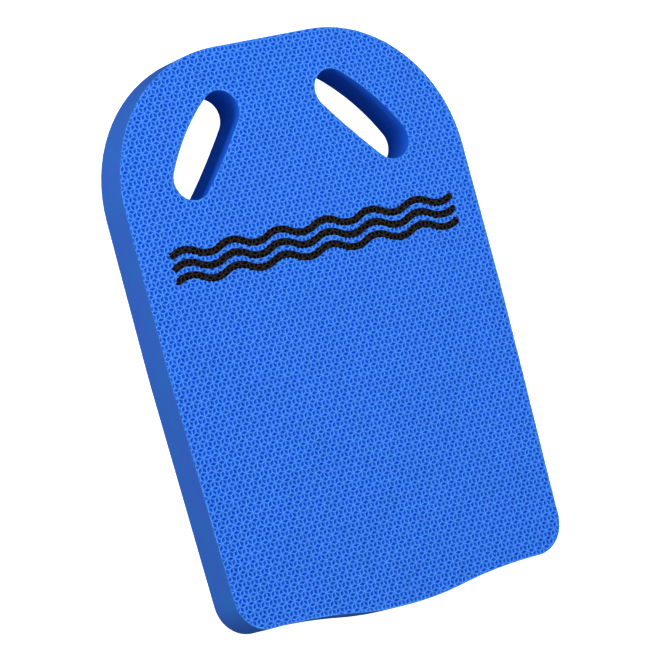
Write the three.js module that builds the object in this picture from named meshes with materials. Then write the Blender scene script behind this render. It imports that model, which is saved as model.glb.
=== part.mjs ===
// Kickboard float: a flat foam board that a swimmer holds, with two hand slots near its nose.
//
// Millimetres. The board lies flat with its printed face up: +Y runs towards the nose, +X to the
// right of somebody who looks at the printed face with the nose at the top, and +Z out of that
// face. The origin is the middle of the back face.
//
// The board is a laminate: a thick foam core between two thin foam skins, die-cut through all
// three layers at once, so every layer has the same outline. The mark is screen ink on the front.

import * as THREE from 'three';

// Board
const BOARD_LENGTH = 432;
const BOARD_WIDTH = 300;
const BOARD_THICKNESS = 30;
const SKIN_THICKNESS = 3;

// Outline: half-widths and heights of the corners that the round stretches replace
const NOSE_Y = BOARD_LENGTH / 2;
const TAIL_Y = -BOARD_LENGTH / 2;
const SIDE_X = BOARD_WIDTH / 2;
const NOSE_CORNER_RADIUS = 107;
const TAPER_START_Y = -11;
const TAPER_BLEND_RADIUS = 970;
const TAIL_CORNER_X = 145.3;
const TAIL_CORNER_RADIUS = 26;
const SHOULDER_Y = TAIL_Y + 9.5;
const TAIL_FLANK_X = 80;
const TAIL_FLANK_RADIUS = 390;
const TAIL_LOBE_X = 24;
const TAIL_LOBE_RADIUS = 275;

// Hand slots: round ends joined by two bowed sides, leaning towards each other at the nose
const SLOT_CENTRE_X = 69;
const SLOT_CENTRE_Y = 145.8;
const SLOT_LEAN = THREE.MathUtils.degToRad(-49.5);
const SLOT_END_RADIUS = 15.5;
const SLOT_HALF_SPACING = 29.8;
const SLOT_OUTER_BOW = 3;
const SLOT_INNER_BOW = 0.8;

// Printed mark: parallel ribbons, each a chain of equal arcs that bend up and down in turn
const RIBBON_NAMES = ['print_wave_lower', 'print_wave_middle', 'print_wave_upper'];
const RIBBON_WIDTH = 5.5;
const RIBBON_SPACING = 9.5;
const RIBBON_BENDS = 12;
const RIBBON_BEND_LENGTH = 20.6;
const RIBBON_BEND_HEIGHT = 2.8;
const MARK_CENTRE_X = 2.5;
const MARK_CENTRE_Y = 62;
const INK_THICKNESS = 0.2;

// Facets: each arc is split into twice this many straight steps
const ARC_DIVISIONS = 10;
const BEND_DIVISIONS = 3;

const FOAM_BLUE = new THREE.MeshStandardMaterial({ color: 0x3a78ee, roughness: 0.75, metalness: 0 });
const CUT_EDGE_BLUE = new THREE.MeshStandardMaterial({ color: 0x2f62be, roughness: 0.85, metalness: 0 });
const BLACK_INK = new THREE.MeshStandardMaterial({ color: 0x101014, roughness: 0.55, metalness: 0 });

// The points of a path, without the ones that repeat where two arcs meet.
function outlinePoints(path, divisions) {
  const points = path.getPoints(divisions);
  return points.filter((point, i) => point.distanceTo(points.at(i - 1)) > 0.01);
}

// Adds an arc that rounds the corner at `here`, between its neighbours `before` and `after`.
function roundCorner(path, before, here, after, radius) {
  const toBefore = before.clone().sub(here).normalize();
  const toAfter = after.clone().sub(here).normalize();
  const halfAngle = Math.acos(toBefore.dot(toAfter)) / 2;
  const reach = radius / Math.tan(halfAngle);
  const middle = toBefore.clone().add(toAfter).normalize();
  const centre = here.clone().addScaledVector(middle, radius / Math.sin(halfAngle));
  const start = here.clone().addScaledVector(toBefore, reach).sub(centre);
  const end = here.clone().addScaledVector(toAfter, reach).sub(centre);
  const turnsRight = toBefore.cross(toAfter) > 0;
  path.absarc(centre.x, centre.y, radius, start.angle(), end.angle(), turnsRight);
}

// The die-cut outline: a straight nose with large corners, sides that taper a little towards
// the tail, and a shallow lobe in the middle of the tail.
function boardOutline() {
  const rightSide = [
    [TAIL_LOBE_X, TAIL_Y, TAIL_LOBE_RADIUS],
    [TAIL_FLANK_X, SHOULDER_Y, TAIL_FLANK_RADIUS],
    [TAIL_CORNER_X, SHOULDER_Y, TAIL_CORNER_RADIUS],
    [SIDE_X, TAPER_START_Y, TAPER_BLEND_RADIUS],
    [SIDE_X, NOSE_Y, NOSE_CORNER_RADIUS],
  ];
  const leftSide = rightSide.map(([x, y, radius]) => [-x, y, radius]).reverse();
  const corners = [...rightSide, ...leftSide];
  const places = corners.map(([x, y]) => new THREE.Vector2(x, y));
  const path = new THREE.Path();
  corners.forEach(([, , radius], i) => {
    const after = places[(i + 1) % places.length];
    roundCorner(path, places.at(i - 1), places[i], after, radius);
  });
  return outlinePoints(path, ARC_DIVISIONS);
}

// The arc that bows out by `bow` between a slot's two end circles and touches them both:
// how far its centre lies behind the slot's long axis, its radius, and where it starts.
function bowedSide(bow) {
  const reach = (SLOT_HALF_SPACING ** 2 + bow ** 2) / (2 * bow);
  const depth = reach - bow;
  return {
    depth,
    radius: reach + SLOT_END_RADIUS,
    startAngle: Math.atan2(depth, SLOT_HALF_SPACING),
  };
}

// One hand slot. `side` is 1 for the right slot and -1 for its mirror image on the left.
function handSlot(side) {
  const outer = bowedSide(SLOT_OUTER_BOW);
  const inner = bowedSide(SLOT_INNER_BOW);
  const path = new THREE.Path();
  path.absarc(0, -outer.depth, outer.radius, outer.startAngle, Math.PI - outer.startAngle);
  path.absarc(-SLOT_HALF_SPACING, 0, SLOT_END_RADIUS,
    Math.PI - outer.startAngle, Math.PI + inner.startAngle);
  path.absarc(0, inner.depth, inner.radius, Math.PI + inner.startAngle, -inner.startAngle);
  path.absarc(SLOT_HALF_SPACING, 0, SLOT_END_RADIUS, -inner.startAngle, outer.startAngle);
  const centre = new THREE.Vector2(SLOT_CENTRE_X, SLOT_CENTRE_Y);
  const points = outlinePoints(path, ARC_DIVISIONS).map((point) => {
    const placed = point.rotateAround(new THREE.Vector2(), SLOT_LEAN).add(centre);
    placed.x *= side;
    return placed;
  });
  return new THREE.Path(points);
}

// One die-cut layer of the board.
function foamLayer(name, material, bottom, top) {
  const shape = new THREE.Shape(boardOutline());
  shape.holes = [handSlot(1), handSlot(-1)];
  const geometry = new THREE.ExtrudeGeometry(shape, { depth: top - bottom, bevelEnabled: false });
  const layer = new THREE.Mesh(geometry, material);
  layer.name = name;
  layer.position.z = bottom;
  return layer;
}

// The outline of one wavy ribbon, centred on its own origin. Its centre line is a chain of arcs
// whose ends share one slope, so the two edges are arcs about the same centres.
function ribbonOutline() {
  const halfChord = RIBBON_BEND_LENGTH / 2;
  const bendRadius = (halfChord ** 2 + RIBBON_BEND_HEIGHT ** 2) / (2 * RIBBON_BEND_HEIGHT);
  const sweep = Math.asin(halfChord / bendRadius);
  const bends = Array.from({ length: RIBBON_BENDS }, (_, i) => {
    const up = i % 2 === 0 ? 1 : -1;
    const x = (i + 0.5 - RIBBON_BENDS / 2) * RIBBON_BEND_LENGTH;
    return { x, y: -up * (bendRadius - RIBBON_BEND_HEIGHT), up };
  });
  const path = new THREE.Path();
  for (const { x, y, up } of bends) {
    const middle = up * Math.PI / 2;
    path.absarc(x, y, bendRadius + up * RIBBON_WIDTH / 2,
      middle + up * sweep, middle - up * sweep, up > 0);
  }
  const halfLength = RIBBON_BENDS * halfChord;
  path.absarc(halfLength, 0, RIBBON_WIDTH / 2, Math.PI / 2 + sweep, sweep - Math.PI / 2, true);
  for (const { x, y, up } of bends.toReversed()) {
    const middle = up * Math.PI / 2;
    path.absarc(x, y, bendRadius - up * RIBBON_WIDTH / 2,
      middle - up * sweep, middle + up * sweep, up < 0);
  }
  path.absarc(-halfLength, 0, RIBBON_WIDTH / 2, sweep - Math.PI / 2, sweep + Math.PI / 2, true);
  return new THREE.Shape(outlinePoints(path, BEND_DIVISIONS));
}

// The ink film of one ribbon, on the front face.
function printedRibbon(name, row) {
  const geometry = new THREE.ExtrudeGeometry(ribbonOutline(), {
    depth: INK_THICKNESS,
    bevelEnabled: false,
  });
  const ribbon = new THREE.Mesh(geometry, BLACK_INK);
  const rowFromMiddle = row - (RIBBON_NAMES.length - 1) / 2;
  ribbon.name = name;
  ribbon.position.set(MARK_CENTRE_X, MARK_CENTRE_Y + rowFromMiddle * RIBBON_SPACING, BOARD_THICKNESS);
  return ribbon;
}

const kickboard = new THREE.Group();
kickboard.name = 'kickboard_float';
kickboard.add(foamLayer('back_skin', FOAM_BLUE, 0, SKIN_THICKNESS));
kickboard.add(foamLayer('foam_core', CUT_EDGE_BLUE, SKIN_THICKNESS, BOARD_THICKNESS - SKIN_THICKNESS));
kickboard.add(foamLayer('front_skin', FOAM_BLUE, BOARD_THICKNESS - SKIN_THICKNESS, BOARD_THICKNESS));
RIBBON_NAMES.forEach((name, row) => kickboard.add(printedRibbon(name, row)));

export default kickboard;
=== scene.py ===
"""A blue foam kickboard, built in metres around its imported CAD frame.

The board is a laminate of three die-cut foam layers. Both skins are embossed with a leaf pattern:
a triangular lattice of ribs with a leaf-shaped pit along each lattice edge. The cut edge is plain
foam, and the mark on the front is screen ink that follows the ribs.
"""

import math

import bmesh
import bpy
import numpy as np
from mathutils import Matrix, Quaternion, Vector


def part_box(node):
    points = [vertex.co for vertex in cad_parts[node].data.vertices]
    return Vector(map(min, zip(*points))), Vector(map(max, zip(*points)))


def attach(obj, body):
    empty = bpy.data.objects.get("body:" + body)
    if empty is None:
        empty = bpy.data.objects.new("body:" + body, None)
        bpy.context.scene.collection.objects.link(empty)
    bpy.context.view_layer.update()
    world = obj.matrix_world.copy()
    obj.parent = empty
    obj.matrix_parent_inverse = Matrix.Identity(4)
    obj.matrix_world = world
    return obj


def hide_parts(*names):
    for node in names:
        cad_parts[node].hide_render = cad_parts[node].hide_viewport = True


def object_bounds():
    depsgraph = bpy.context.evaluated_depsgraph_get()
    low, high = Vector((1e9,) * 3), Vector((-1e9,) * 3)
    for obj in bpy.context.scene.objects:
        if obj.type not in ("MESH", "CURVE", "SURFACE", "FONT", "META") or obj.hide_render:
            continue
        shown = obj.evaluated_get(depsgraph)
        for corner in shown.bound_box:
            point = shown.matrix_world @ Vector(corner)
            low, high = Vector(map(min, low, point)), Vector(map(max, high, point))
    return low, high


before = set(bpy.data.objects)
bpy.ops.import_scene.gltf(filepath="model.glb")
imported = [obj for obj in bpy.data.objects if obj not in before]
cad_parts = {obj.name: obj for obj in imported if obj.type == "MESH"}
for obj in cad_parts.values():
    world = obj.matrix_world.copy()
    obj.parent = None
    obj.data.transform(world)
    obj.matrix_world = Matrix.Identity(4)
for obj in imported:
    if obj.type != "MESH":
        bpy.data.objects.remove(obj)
cad_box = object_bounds()

MM = 0.001
WELD = 0.001 * MM  # points closer than this count as one
FLAT = 0.01 * MM  # a face less tall than this is a sliver of a flat face
CUTTER_MARGIN = 1.0 * MM  # how far a cutter reaches past what it cuts

# Leaf pattern. A lattice is its step along a row and its step to the next row, and its origin is
# a place where ribs cross.
FRONT_LATTICE = np.array([[7.034, -0.138], [3.476, 5.692]]) * MM
FRONT_ORIGIN = np.array([-10.04, -14.67]) * MM
FRONT_LEAF_DEPTH = 1.6 * MM
BACK_LATTICE = np.array([[7.035, 0.09], [3.53, 5.69]]) * MM
BACK_ORIGIN = np.array([1.2, 2.4]) * MM
BACK_LEAF_DEPTH = 0.5 * MM
LEAF_HALF_LENGTH = 0.46  # of the lattice edge
LEAF_HALF_WIDTH = 0.86  # of the way from the edge's middle to its triangle's middle
LEAF_FLOOR = 0.6  # the flat bottom's size, as a share of the leaf's
RIB_CROWN = 0.15 * MM  # how much higher a rib's top is than the brim of its leaves
LEAF_WANDER = 0.02  # of a lattice edge
LEAF_UNEVENNESS = 0.2  # of the depth
SPARE_CELLS = 2  # looked at past the box, before the far ones are dropped
SLAB_OVERHANG = 1.5  # how far past the box a slab reaches, in lattice steps
SAME_POINT_DIGITS = 5  # decimals that tell a slab's points apart, in lattice steps and millimetres

# Waves of the pattern's unevenness, in radians for each lattice step along a row and to the next
SINE_WAVE = np.array([7.7, 5.3])
COSINE_WAVE = np.array([-4.1, 9.2])

# Cut walls
WALL_SLOPE = 0.2  # a face whose normal rises less than this is part of a cut wall
RIM_DIP = 0.25  # how much of a leaf's depth is left where it meets a cut edge
RIM_WIDTH = 1.2 * MM
RELIEF_REACH = 2.1 * MM  # more than the deepest leaf, less than a skin
SLOT_CENTRE = np.array([69.0, 145.8]) * MM  # of the right slot; the left one is its mirror image
# A wall that belongs to a slot gets the slot's painted shade.
SLOT_SHADE_REACH = 50 * MM  # a wall nearer to a slot's centre than this belongs to the slot
SAME_CORNER_DIGITS = 6  # decimals that tell the outline's corners apart, in metres
POINTS_AT_ONCE = 4000  # compared with the outline together, which bounds the memory used

# Foam. Each blue is a place on the colour ramp and the colour there. A scale is in noise cells
# for each metre.
# The skin's blues run from the rib tops to the pit floors: the darker pit blue is painted shade in
# the pits.
SKIN_BLUES_SHADED_PITS = (
    (0.09, (0.078, 0.325, 1.0)),
    (1.00, (0.000, 0.088, 0.71)),
)
CUT_BLUES = (
    (0.34, (0.046, 0.151, 0.68)),
    (0.66, (0.031, 0.158, 0.58)),
)
# The slot walls' blues are darker and more saturated than the cut blues: painted shade inside the
# slots.
SLOT_SHADED_BLUES = (
    (0.30, (0.016, 0.126, 0.75)),
    (0.70, (0.010, 0.108, 0.68)),
)
MOTTLE_SCALE = 38.0
MOTTLE_DETAIL = 4.0
MOTTLE_ROUGHNESS = 0.55
MOTTLE_SPREAD = (0.3, 0.7)  # the noise values between which the mottling takes effect
GRAIN_DETAIL = 3.0
GRAIN_ROUGHNESS = 0.6
GRAIN_BUMP = 0.6
FOAM_ROUGHNESS = (0.55, 0.8)

# Ink
INK_FILM = 0.05 * MM
# The ink's colour runs from the rib tops to the pits: the near-black pit colour is painted shade.
INK_ON_RIBS = (0.034, 0.027, 0.024, 1)
INK_SHADED_IN_PITS = (0.0, 0.0, 0.001, 1)
INK_FULL_PIT_SHADE = 0.6  # the relief from which the ink is as black as in a pit
INK_GRAIN_SCALE = 2600.0
INK_GRAIN_DETAIL = 2.0
INK_ROUGHNESS = (0.5, 0.75)
INK_GLOSS = 0.06

# Camera
VIEW_AZIMUTH = math.radians(-84.52)
VIEW_ELEVATION = math.radians(57.61)
VIEW_DISTANCE = 3.202
VIEW_AIM = Vector((1.64, -5.54, 14.85)) * MM
NOSE_LEAN = math.radians(-15.02)
LENS_MM = 236.2
CLIP_NEAR, CLIP_FAR = 0.1, 20.0

# Softboxes: azimuth from +X towards +Y and elevation in degrees, distance, width and height in
# metres, and power in watts
SOFTBOXES = {
    "ceiling": (90, 90, 2.0, 6.0, 6.0, 56),
    "overhead": (90, 83, 2.0, 1.6, 1.6, 12.5),
    "nose": (110, 60, 1.1, 0.8, 0.8, 2.3),
    "nose_side": (142, 11, 2.0, 1.8, 0.5, 23.3),
    "tail_side": (203, 9, 2.0, 1.8, 0.5, 9.5),
    "tail": (280, 12, 2.0, 1.8, 0.5, 6),
    "far_side": (350, 12, 2.0, 1.8, 0.5, 10),
}

# Floor and room
WHITE = (1, 1, 1, 1)
FLOOR_HALF_WIDTH = 4.0
FLOOR_GAP = 0.02 * MM  # keeps the floor from touching the board's back face
FLOOR_WHITE = (0.9, 0.9, 0.9, 1)
FLOOR_ROUGHNESS = 0.9
FLOOR_GLOW = 0.9


# ---------------------------------------------------------------- mesh helpers


def new_object(name, data):
    """An object for a mesh, a light or a camera, linked to the scene."""
    made = bpy.data.objects.new(name, data)
    bpy.context.scene.collection.objects.link(made)
    return made


def prism(node, low, high):
    """A CAD node's outline as a closed prism between two heights, without its custom normals."""
    middle = sum(corner.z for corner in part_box(node)) / 2
    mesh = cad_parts[node].data.copy()
    mesh.name = "outline"
    mesh.materials.clear()
    if "custom_normal" in mesh.attributes:
        mesh.attributes.remove(mesh.attributes["custom_normal"])
    work = bmesh.new()
    work.from_mesh(mesh)
    bmesh.ops.remove_doubles(work, verts=work.verts, dist=WELD)
    for vert in work.verts:
        vert.co.z = low if vert.co.z < middle else high
    work.to_mesh(mesh)
    work.free()
    return mesh


def boolean(mesh, cutter, operation):
    """The mesh cut by or kept inside another closed mesh."""
    kept, other = new_object("kept", mesh), new_object("other", cutter)
    step = kept.modifiers.new("boolean", "BOOLEAN")
    step.object = other
    step.operation = operation
    step.solver = "MANIFOLD"
    graph = bpy.context.evaluated_depsgraph_get()
    made = bpy.data.meshes.new_from_object(kept.evaluated_get(graph))
    for piece in (kept, other):
        bpy.data.objects.remove(piece)
    return made


def clean_slivers(mesh):
    """Closes the needle-thin faces that a boolean leaves, and makes every face a triangle."""
    work = bmesh.new()
    work.from_mesh(mesh)
    bmesh.ops.dissolve_degenerate(work, dist=WELD, edges=work.edges)
    bmesh.ops.triangulate(work, faces=work.faces)
    work.to_mesh(mesh)
    work.free()


def read_floats(collection, name, size):
    """One float attribute of all the items of a mesh, as rows."""
    values = np.zeros(len(collection) * size, np.float32)
    collection.foreach_get(name, values)
    return values.reshape(-1, size)


def point_places(mesh):
    """The places of a mesh's points, as rows."""
    return read_floats(mesh.vertices, "co", 3)


# ---------------------------------------------------------------- leaf pattern


def leaf_triangle(leaf_depth):
    """One lattice triangle of the pattern, for corners numbered 0 to 2 anticlockwise.

    Returns each point as weights of the three corners, its height, and the faces. The points are
    the corners, the middle, and six for each side's half leaf: three on its brim, three on its
    floor.
    """
    corners = np.eye(3)
    centre = corners.mean(0)
    points = [*corners, centre]
    heights = [0, 0, 0, 0]
    for k in range(3):
        start, end = corners[k], corners[(k + 1) % 3]
        middle, along = (start + end) / 2, (end - start) * LEAF_HALF_LENGTH
        across = (centre - middle) * LEAF_HALF_WIDTH
        for share, height in ((1, -RIB_CROWN), (LEAF_FLOOR, -leaf_depth)):
            points += [middle - share * along, middle + share * along, middle + share * across]
            heights += [height] * 3
    faces = []
    for k in range(3):
        end = (k + 1) % 3
        tip, far_tip, side, floor, far_floor, floor_side = range(4 + 6 * k, 10 + 6 * k)
        faces += [(tip, floor, side), (floor, floor_side, side), (floor_side, far_floor, side)]
        faces += [(far_floor, far_tip, side), (floor, far_floor, floor_side)]
        faces += [(k, tip, side), (k, side, 3), (end, side, far_tip), (end, 3, side)]
    return np.array(points), np.array(heights), np.array(faces)


def scatter(places, seed):
    """An uneven but continuous number from -1 to 1 for each place on the lattice."""
    return np.sin(places @ SINE_WAVE + seed) * np.cos(places @ COSINE_WAVE - seed)


def lattice_cells(low, high, lattice, origin):
    """The lattice cells, as pairs of whole numbers, that cover a box in x and y and a little more."""
    box = np.array([[x, y] for x in (low.x, high.x) for y in (low.y, high.y)])
    reach = (box - origin) @ np.linalg.inv(lattice)
    first = np.floor(reach.min(0)).astype(int) - SPARE_CELLS
    last = np.ceil(reach.max(0)).astype(int) + SPARE_CELLS
    i, j = np.meshgrid(np.arange(first[0], last[0]), np.arange(first[1], last[1]))
    cells = np.stack([i.ravel(), j.ravel()], 1)
    middles = (cells + 0.5) @ lattice + origin
    margin = SLAB_OVERHANG * np.linalg.norm(lattice[0])
    inside = (middles > np.array(low.xy) - margin) & (middles < np.array(high.xy) + margin)
    return cells[inside.all(1)]


def leaf_slab(low, high, lattice, origin, leaf_depth, thickness):
    """A closed slab over a box in x and y, with the leaf pattern on top at height 0."""
    weights, heights, faces = leaf_triangle(leaf_depth)
    cells = lattice_cells(low, high, lattice, origin)
    lower = cells[:, None] + np.array([[0, 0], [1, 0], [0, 1]])
    upper = cells[:, None] + np.array([[1, 0], [1, 1], [0, 1]])
    triangles = np.concatenate([lower, upper])
    flat = np.einsum("pc,tcd->tpd", weights, triangles)
    levels = np.broadcast_to(heights, flat.shape[:2])
    keys = np.concatenate([flat, levels[..., None] / MM], 2).reshape(-1, 3)
    unique, index = np.unique(np.round(keys, SAME_POINT_DIGITS), axis=0, return_inverse=True)
    index = index.reshape(len(triangles), -1)
    along, across, deep = (scatter(unique[:, :2], seed) for seed in (1, 2, 3))
    pits = unique[:, 2] < -leaf_depth / MM / 2
    plan = unique[:, :2] + LEAF_WANDER * np.column_stack([along, across])
    top_heights = unique[:, 2] * MM * (1 + LEAF_UNEVENNESS * pits * deep)
    top = np.column_stack([plan @ lattice + origin, top_heights])
    return close_slab(top, index[:, faces].reshape(-1, 3), -thickness)


def close_slab(top, top_faces, floor_height):
    """Adds upright sides and a flat floor under an open sheet of triangles."""
    edges = top_faces[:, [0, 1, 1, 2, 2, 0]].reshape(-1, 2)
    known = set(map(tuple, edges.tolist()))
    rim = dict(edge for edge in known if edge[::-1] not in known)
    loop = [next(iter(rim))]
    while len(loop) < len(rim):
        loop.append(rim[loop[-1]])
    base = {vertex: len(top) + k for k, vertex in enumerate(loop)}
    floor = top[loop].copy()
    floor[:, 2] = floor_height
    sides = [(base[a], base[b], b, a) for a, b in rim.items()]
    bottom = [tuple(base[vertex] for vertex in reversed(loop))]
    mesh = bpy.data.meshes.new("slab")
    mesh.from_pydata(np.vstack([top, floor]).tolist(), [], top_faces.tolist() + sides + bottom)
    return mesh


# ---------------------------------------------------------------- cut walls


def corner_key(corner):
    """A corner's place, rounded so that it can be looked up."""
    return tuple(round(c, SAME_CORNER_DIGITS) for c in corner)


def outline_facets(node):
    """The facets of a CAD layer's outline: start, end, and the smoothed normal at each end."""
    bottom, top = 0.0, 1.0
    mesh = prism(node, bottom, top)
    facets = []
    for polygon in mesh.polygons:
        corners = [mesh.vertices[v].co for v in polygon.vertices]
        lower = [corner.xy for corner in corners if corner.z == bottom]
        if abs(polygon.normal.z) < WALL_SLOPE and len(lower) == 2:
            facets.append((*lower, polygon.normal.xy))
    bpy.data.meshes.remove(mesh)
    joined = {}
    for start, end, normal in facets:
        for corner in (start, end):
            before = joined.get(corner_key(corner), Vector((0, 0)))
            joined[corner_key(corner)] = before + normal * (end - start).length
    smooth = {key: normal.normalized() for key, normal in joined.items()}
    return np.array([
        [*start, *end, *smooth[corner_key(start)], *smooth[corner_key(end)]]
        for start, end, _ in facets
    ])


def nearest_facets(points, facets):
    """For each point: its distance to the outline, the nearest facet, and how far along that is."""
    start, end = facets[:, 0:2], facets[:, 2:4]
    along = end - start
    found = []
    for chunk in np.array_split(points, len(points) // POINTS_AT_ONCE + 1):
        offset = chunk[:, None] - start[None]
        share = np.clip((offset * along).sum(2) / (along**2).sum(1), 0, 1)
        gap = np.linalg.norm(offset - share[..., None] * along, axis=2)
        nearest = gap.argmin(1)
        rows = np.arange(len(chunk))
        found.append(np.column_stack([gap[rows, nearest], nearest, share[rows, nearest]]))
    distance, facet, share = np.concatenate(found).T
    return distance, facet.astype(int), share


def wall_normals(points, facets):
    """The outline's smoothed normal at the nearest place to each point."""
    _, facet, share = nearest_facets(points, facets)
    normals = facets[facet, 4:6] * (1 - share[:, None]) + facets[facet, 6:8] * share[:, None]
    return normals / np.linalg.norm(normals, axis=1)[:, None]


def wall_faces(mesh):
    """Which faces are part of a cut wall: upright ones, but not slivers of a flat face."""
    upright = np.abs(read_floats(mesh.polygon_normals, "vector", 3)[:, 2]) < WALL_SLOPE
    heights = point_places(mesh)[:, 2]
    tall = [np.ptp(heights[list(polygon.vertices)]) > FLAT for polygon in mesh.polygons]
    return upright & np.array(tall)


def level_rim(mesh, facets, height):
    """Raises the leaves' floors close to a cut, so that the rims of the board are nearly level."""
    places = point_places(mesh)
    top = np.flatnonzero(np.abs(places[:, 2] - height) < RELIEF_REACH)
    distance, _, _ = nearest_facets(places[top, :2], facets)
    kept = np.interp(distance, [0, RIM_WIDTH], [RIM_DIP, 1])
    places[top, 2] = height + (places[top, 2] - height) * kept
    mesh.vertices.foreach_set("co", places.ravel())
    mesh.update()


def shade(mesh, walls):
    """Smooths the faces, keeps the cut rims crisp, and gives the walls their own materials, with
    painted shade on the slots' walls.
    """
    # Walls near a slot's centre get the slot material, painted darker as shade inside the slots.
    mirrored = read_floats(mesh.polygons, "center", 3)[:, :2]
    mirrored[:, 0] = np.abs(mirrored[:, 0])
    in_slot_shade = np.linalg.norm(mirrored - SLOT_CENTRE, axis=1) < SLOT_SHADE_REACH
    mesh.polygons.foreach_set("material_index", walls.astype(np.int32) * (1 + in_slot_shade))
    mesh.polygons.foreach_set("use_smooth", np.ones(len(walls), bool))
    edge_sides = [set() for _ in mesh.edges]
    for polygon in mesh.polygons:
        for loop in polygon.loop_indices:
            edge_sides[mesh.loops[loop].edge_index].add(walls[polygon.index])
    mark = mesh.attributes.get("sharp_edge") or mesh.attributes.new("sharp_edge", "BOOLEAN", "EDGE")
    mark.data.foreach_set("value", np.array([len(sides) > 1 for sides in edge_sides]))
    mesh.update()


def smooth_walls(mesh, walls, facets):
    """Gives the cut walls the outline's own smooth normals."""
    corners = read_floats(mesh.corner_normals, "vector", 3)
    vertex_of_corner = np.zeros(len(mesh.loops), np.int32)
    mesh.loops.foreach_get("vertex_index", vertex_of_corner)
    sizes = [len(polygon.vertices) for polygon in mesh.polygons]
    on_wall = np.flatnonzero(np.repeat(walls, sizes))
    places = point_places(mesh)[vertex_of_corner[on_wall], :2]
    corners[on_wall, :2] = wall_normals(places, facets)
    corners[on_wall, 2] = 0
    mesh.normals_split_custom_set(corners.tolist())


# ---------------------------------------------------------------- materials


class Surface:
    """A node material, its Principled shader, and short ways to add nodes to it."""

    def __init__(self, name):
        self.material = bpy.data.materials.new(name)
        self.material.use_nodes = True
        self.tree = self.material.node_tree
        self.shader = self.tree.nodes["Principled BSDF"]
        self.link = self.tree.links.new

    def add(self, kind, **settings):
        """A new node, with its sockets or properties set by name."""
        node = self.tree.nodes.new(kind)
        for key, value in settings.items():
            if key in node.inputs:
                node.inputs[key].default_value = value
            else:
                setattr(node, key, value)
        return node

    def place(self):
        """Each point's place on the object, in metres."""
        return self.add("ShaderNodeTexCoord").outputs["Object"]

    def relief(self):
        """Each point's relief, from 0 on the ribs to 1 in the pits."""
        return self.add("ShaderNodeAttribute", attribute_name="relief").outputs["Fac"]

    def noise(self, place, **settings):
        """Smooth noise over the places, around 0.5."""
        node = self.add("ShaderNodeTexNoise", **settings)
        self.link(place, node.inputs["Vector"])
        return node.outputs["Fac"]

    def remap(self, value, new_range, old_range=(0.0, 1.0)):
        """A value moved from one range to another, and kept inside it."""
        node = self.add("ShaderNodeMapRange")
        node.inputs["From Min"].default_value, node.inputs["From Max"].default_value = old_range
        node.inputs["To Min"].default_value, node.inputs["To Max"].default_value = new_range
        self.link(value, node.inputs["Value"])
        return node.outputs["Result"]


def foam_material(name, blues, gloss, mottling, grain_scale, grain_height, embossed=False):
    """Closed-cell foam: slow mottling and a fine grain.

    On an embossed face the blues follow the relief, with painted shade darkening the pits; on a plain
    one they follow the mottling.
    """
    foam = Surface(name)
    place = foam.place()
    mottle = foam.noise(
        place, Scale=MOTTLE_SCALE, Detail=MOTTLE_DETAIL, Roughness=MOTTLE_ROUGHNESS
    )
    ramp = foam.add("ShaderNodeValToRGB")
    for stop, (position, colour) in zip(ramp.color_ramp.elements, blues):
        stop.position = position
        stop.color = (*colour, 1)
    # On an embossed face the relief drives the ramp, which paints shade into the pits.
    foam.link(foam.relief() if embossed else mottle, ramp.inputs["Fac"])
    mottled = foam.add("ShaderNodeVectorMath", operation="SCALE")
    foam.link(ramp.outputs["Color"], mottled.inputs[0])
    tone = foam.remap(mottle, (1 - mottling, 1 + mottling), MOTTLE_SPREAD)
    foam.link(tone, mottled.inputs["Scale"])
    foam.link(mottled.outputs["Vector"], foam.shader.inputs["Base Color"])
    grain = foam.noise(place, Scale=grain_scale, Detail=GRAIN_DETAIL, Roughness=GRAIN_ROUGHNESS)
    bump = foam.add("ShaderNodeBump", Strength=GRAIN_BUMP, Distance=grain_height)
    foam.link(grain, bump.inputs["Height"])
    foam.link(bump.outputs["Normal"], foam.shader.inputs["Normal"])
    foam.link(foam.remap(grain, FOAM_ROUGHNESS), foam.shader.inputs["Roughness"])
    foam.shader.inputs["Specular IOR Level"].default_value = gloss
    return foam.material


def ink_material():
    """Matte black screen ink, a little brown on the rib tops, and painted darker in the pits as
    shade.
    """
    ink = Surface("black_ink_shaded_pits")
    colour = ink.add("ShaderNodeMix", data_type="RGBA")
    colour.inputs["A"].default_value = INK_ON_RIBS
    colour.inputs["B"].default_value = INK_SHADED_IN_PITS
    # The relief darkens the ink towards the pits: painted shade.
    depth = ink.remap(ink.relief(), (0.0, 1.0), (0.0, INK_FULL_PIT_SHADE))
    ink.link(depth, colour.inputs["Factor"])
    ink.link(colour.outputs["Result"], ink.shader.inputs["Base Color"])
    grain = ink.noise(ink.place(), Scale=INK_GRAIN_SCALE, Detail=INK_GRAIN_DETAIL)
    ink.link(ink.remap(grain, INK_ROUGHNESS), ink.shader.inputs["Roughness"])
    ink.shader.inputs["Specular IOR Level"].default_value = INK_GLOSS
    return ink.material


skin_foam_shaded_pits = foam_material(
    "skin_foam_shaded_pits", SKIN_BLUES_SHADED_PITS, gloss=0.06, mottling=0.03,
    grain_scale=2400.0, grain_height=0.03 * MM, embossed=True,
)
cut_foam = foam_material(
    "cut_foam", CUT_BLUES, gloss=0.08, mottling=0.07,
    grain_scale=1500.0, grain_height=0.06 * MM,
)
slot_foam_shaded = foam_material(
    "slot_foam_shaded", SLOT_SHADED_BLUES, gloss=0.03, mottling=0.05,
    grain_scale=1500.0, grain_height=0.06 * MM,
)
black_ink_shaded_pits = ink_material()


# ---------------------------------------------------------------- the board


def store_relief(mesh, relief):
    """Keeps each point's relief, from 0 on the ribs to 1 in the pits, for the materials that paint
    shade into the pits by it.
    """
    layer = mesh.attributes.new("relief", "FLOAT", "POINT")
    layer.data.foreach_set("value", np.clip(relief, 0, 1).astype(np.float32))


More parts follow.
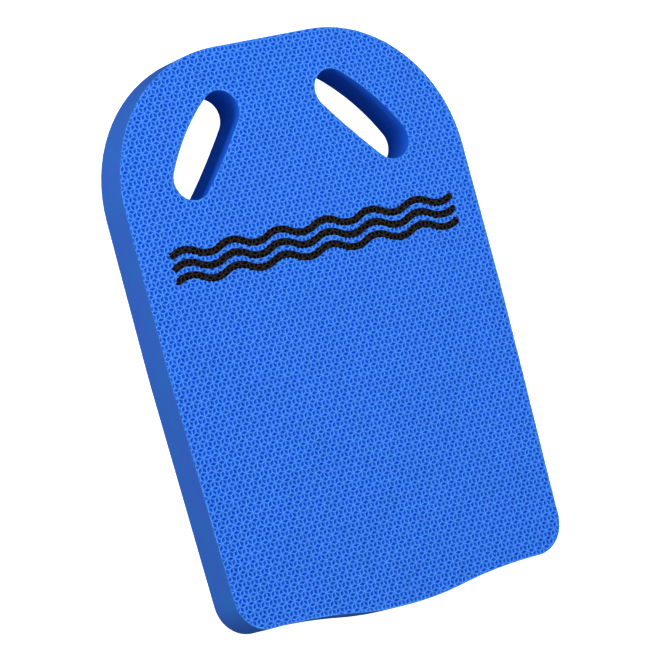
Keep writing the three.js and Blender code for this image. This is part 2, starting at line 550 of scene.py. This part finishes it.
def finish_layer(name, mesh, node, walls):
    """Shades one foam layer and puts it in its CAD node's place."""
    mesh.materials.clear()
    for foam in (skin_foam_shaded_pits, cut_foam, slot_foam_shaded):
        mesh.materials.append(foam)
    shade(mesh, walls)
    layer = new_object(name, mesh)
    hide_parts(node)
    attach(layer, "root")


def finish_skin(name, mesh, node, face_height, leaf_depth):
    """Levels an embossed layer's rims, stores its relief, and finishes the layer.

    The leaf depth is negative for the skin whose pattern faces down.
    """
    facets = outline_facets(node)
    walls = wall_faces(mesh)
    level_rim(mesh, facets, face_height)
    store_relief(mesh, (face_height - point_places(mesh)[:, 2]) / leaf_depth)
    finish_layer(name, mesh, node, walls)
    smooth_walls(mesh, walls, facets)


def front_slab(low, high, thickness):
    """The front face's pattern over a box, with its rib tops at the front face's height."""
    slab = leaf_slab(low, high, FRONT_LATTICE, FRONT_ORIGIN, FRONT_LEAF_DEPTH, thickness)
    slab.transform(Matrix.Translation((0, 0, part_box("front_skin")[1].z)))
    return slab


def front_skin():
    """The embossed front layer."""
    low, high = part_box("front_skin")
    slab = front_slab(low, high, high.z - low.z + CUTTER_MARGIN)
    mesh = boolean(slab, prism("front_skin", low.z, high.z + CUTTER_MARGIN), "INTERSECT")
    finish_skin("front_leaf_skin", mesh, "front_skin", high.z, FRONT_LEAF_DEPTH)


def back_skin():
    """The embossed back layer, whose pattern faces down."""
    low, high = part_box("back_skin")
    thickness = high.z - low.z + CUTTER_MARGIN
    slab = leaf_slab(low, high, BACK_LATTICE, BACK_ORIGIN, BACK_LEAF_DEPTH, thickness)
    slab.transform(Matrix.Translation((0, 0, low.z)) @ Matrix.Scale(-1, 4, (0, 0, 1)))
    slab.flip_normals()
    mesh = boolean(slab, prism("back_skin", low.z - CUTTER_MARGIN, high.z), "INTERSECT")
    finish_skin("back_leaf_skin", mesh, "back_skin", low.z, -BACK_LEAF_DEPTH)


def foam_core():
    """The plain core between the skins."""
    low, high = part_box("foam_core")
    mesh = prism("foam_core", low.z, high.z)
    finish_layer("plain_foam_core", mesh, "foam_core", wall_faces(mesh))


def ink_ribbon(node):
    """One ribbon of ink: a thin film that follows the ribs and pits under it."""
    low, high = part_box(node)
    depth = FRONT_LEAF_DEPTH + 2 * CUTTER_MARGIN
    film = front_slab(low, high, depth)
    film.transform(Matrix.Translation((0, 0, INK_FILM)))
    outline = prism(node, low.z - FRONT_LEAF_DEPTH - CUTTER_MARGIN, high.z + CUTTER_MARGIN)
    film = boolean(film, outline, "INTERSECT")
    film = boolean(film, front_slab(low, high, 2 * depth), "DIFFERENCE")
    clean_slivers(film)
    store_relief(film, (low.z - point_places(film)[:, 2]) / FRONT_LEAF_DEPTH)
    film.polygons.foreach_set("use_smooth", np.ones(len(film.polygons), bool))
    film.materials.clear()
    film.materials.append(black_ink_shaded_pits)
    ribbon = new_object(node.replace("print", "ink"), film)
    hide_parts(node)
    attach(ribbon, "root")


front_skin()
back_skin()
foam_core()
for node in sorted(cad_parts):
    if node.startswith("print_wave"):
        ink_ribbon(node)


# ---------------------------------------------------------------- stage


def floor():
    """A plain pale floor that the board lies on."""
    half = FLOOR_HALF_WIDTH
    corners = [(-half, -half, 0), (half, -half, 0), (half, half, 0), (-half, half, 0)]
    mesh = bpy.data.meshes.new("floor")
    mesh.from_pydata(corners, [], [(0, 1, 2, 3)])
    pale = Surface("pale_floor")
    pale.shader.inputs["Base Color"].default_value = FLOOR_WHITE
    pale.shader.inputs["Roughness"].default_value = FLOOR_ROUGHNESS
    pale.shader.inputs["Emission Color"].default_value = WHITE
    pale.shader.inputs["Emission Strength"].default_value = FLOOR_GLOW
    mesh.materials.append(pale.material)
    plane = new_object("floor", mesh)
    plane.location.z = cad_box[0].z - FLOOR_GAP
    plane.visible_diffuse = False
    plane.visible_glossy = False


def softbox(name, azimuth, elevation, distance, width, height, power):
    """A rectangular area light that faces the board."""
    light = bpy.data.lights.new(name, "AREA")
    light.shape = "RECTANGLE"
    light.size, light.size_y = width, height
    light.energy = power
    turn, rise = math.radians(azimuth), math.radians(elevation)
    away = Vector((
        math.cos(rise) * math.cos(turn),
        math.cos(rise) * math.sin(turn),
        math.sin(rise),
    ))
    lamp = new_object(name, light)
    lamp.location = away * distance
    lamp.rotation_euler = away.to_track_quat("Z", "Y").to_euler()


def studio():
    """Soft light from above and low from the left, the tail and the right, in a white room.

    The room is what the camera sees behind the board, and lights nothing.
    """
    for name, place_and_power in SOFTBOXES.items():
        softbox(name, *place_and_power)
    world = bpy.data.worlds.new("room")
    bpy.context.scene.world = world
    world.use_nodes = True
    background = world.node_tree.nodes["Background"]
    background.inputs["Color"].default_value = WHITE
    background.inputs["Strength"].default_value = 1.0
    world.cycles_visibility.diffuse = False
    world.cycles_visibility.glossy = False


def camera():
    """The photograph's view: above the board and to its left, with the nose leaning left."""
    lens = bpy.data.cameras.new("camera")
    lens.lens = LENS_MM
    lens.clip_start, lens.clip_end = CLIP_NEAR, CLIP_FAR
    back = Vector((
        math.sin(VIEW_AZIMUTH) * math.cos(VIEW_ELEVATION),
        -math.cos(VIEW_AZIMUTH) * math.cos(VIEW_ELEVATION),
        math.sin(VIEW_ELEVATION),
    ))
    nose = Vector((0, 1, 0))
    nose_up = (nose - back * nose.dot(back)).normalized()
    upright = Matrix((nose_up.cross(back), nose_up, back)).transposed().to_quaternion()
    eye = new_object("camera", lens)
    eye.rotation_mode = "QUATERNION"
    eye.rotation_quaternion = Quaternion(back, NOSE_LEAN) @ upright
    eye.location = VIEW_AIM + back * VIEW_DISTANCE
    bpy.context.scene.camera = eye


floor()
studio()
camera()
bpy.context.scene.view_settings.view_transform = "Standard"
